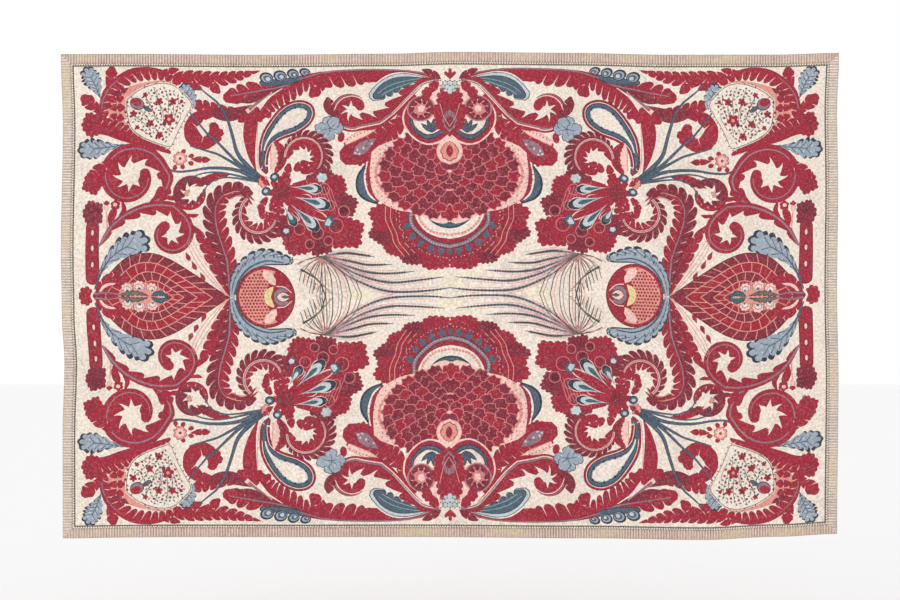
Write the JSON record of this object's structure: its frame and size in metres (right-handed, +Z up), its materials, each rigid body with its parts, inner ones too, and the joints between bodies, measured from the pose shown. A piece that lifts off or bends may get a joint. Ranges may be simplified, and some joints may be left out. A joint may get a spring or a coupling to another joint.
{
  "type": "painted cotton wall hanging",
  "caption": "Wide flat cotton wall hanging, painted and resist-dyed with mirrored leaves, scrolls and flowers, its edges covered by mitred ribbed tape.",
  "frame": {"origin": "middle of the top edge, on the cloth's mid-plane, where the hanging is held up", "axes": "+X to the viewer's right along the top edge, +Y from the painted face to the back, +Z up"},
  "size_m": [1.7504, 0.0155, 1.0974],
  "materials": {
    "painted_cotton": "plain woven cotton, cream ground, painted and dyed crimson, maroon, salmon, pale blue and slate, matt",
    "ribbed_tape": "narrow ribbed cotton tape, beige pink, matt"
  },
  "bodies": {
    "root": {"painted_panel": "painted_cotton", "edge_tape_top": "ribbed_tape", "edge_tape_bottom": "ribbed_tape", "edge_tape_left": "ribbed_tape", "edge_tape_right": "ribbed_tape"}
  },
  "joints": []
}
